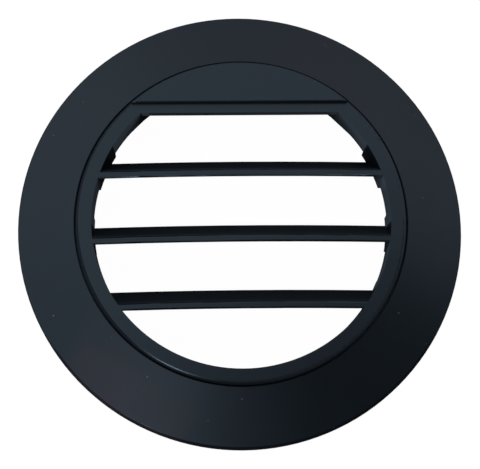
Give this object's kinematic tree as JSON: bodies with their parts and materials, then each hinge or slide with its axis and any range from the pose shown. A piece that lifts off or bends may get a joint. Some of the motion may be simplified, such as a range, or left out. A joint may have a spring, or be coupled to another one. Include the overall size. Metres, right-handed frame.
{
  "type": "heater air outlet",
  "caption": "Round air outlet for a duct heater: a conical wall flange with a duct collar behind it, and a louvre disc with a raised brow that turns to aim the warm air.",
  "frame": {"origin": "on the outlet's axis, in the plane of the wall surface that the flange rests on", "axes": "+Z is the axis, out of the wall into the room; +Y points to the brow of the louvre insert; +X is along the slats"},
  "size_m": [0.096, 0.096, 0.0199],
  "materials": {
    "flange_plastic": "satin moulded plastic, blue-black, with a very fine grain",
    "insert_plastic": "satin moulded plastic, blue-black, with a very fine grain"
  },
  "bodies": {
    "base": {"base": "flange_plastic"},
    "insert": {"louvre_insert": "insert_plastic"}
  },
  "joints": [
    {"name": "insert_turn", "type": "hinge", "parent": "base", "child": "insert", "pos_m": [0, 0, 0.0056], "axis": [0, 0, 1], "continuous": true}
  ]
}
